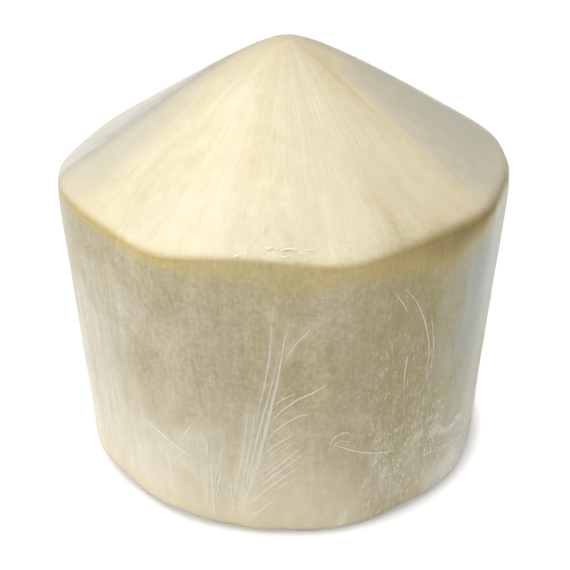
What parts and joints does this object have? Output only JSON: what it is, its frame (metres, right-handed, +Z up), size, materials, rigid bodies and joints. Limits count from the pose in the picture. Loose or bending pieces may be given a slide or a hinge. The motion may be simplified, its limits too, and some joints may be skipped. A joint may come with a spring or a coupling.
{
  "type": "trimmed green coconut",
  "caption": "Young coconut peeled and knife-trimmed to a short drum with a low cone on top, standing on a flat cut and sealed in tight clear film.",
  "frame": {"origin": "the middle of the flat spot that the coconut stands on", "axes": "+Z up along the nut's own axis, through the blunt tip; -Y is the side that the picture shows"},
  "size_m": [0.1207, 0.1209, 0.1143],
  "materials": {
    "husk": "pale cream to beige cut husk, matt, with fine fibres that run down the cone and the wall, and an ochre stain under the shoulder",
    "clear_film": "clear glossy clinging film with fine creases, wrinkles and a little milky haze"
  },
  "bodies": {
    "root": {"coconut": "husk", "film": "clear_film"}
  },
  "joints": []
}
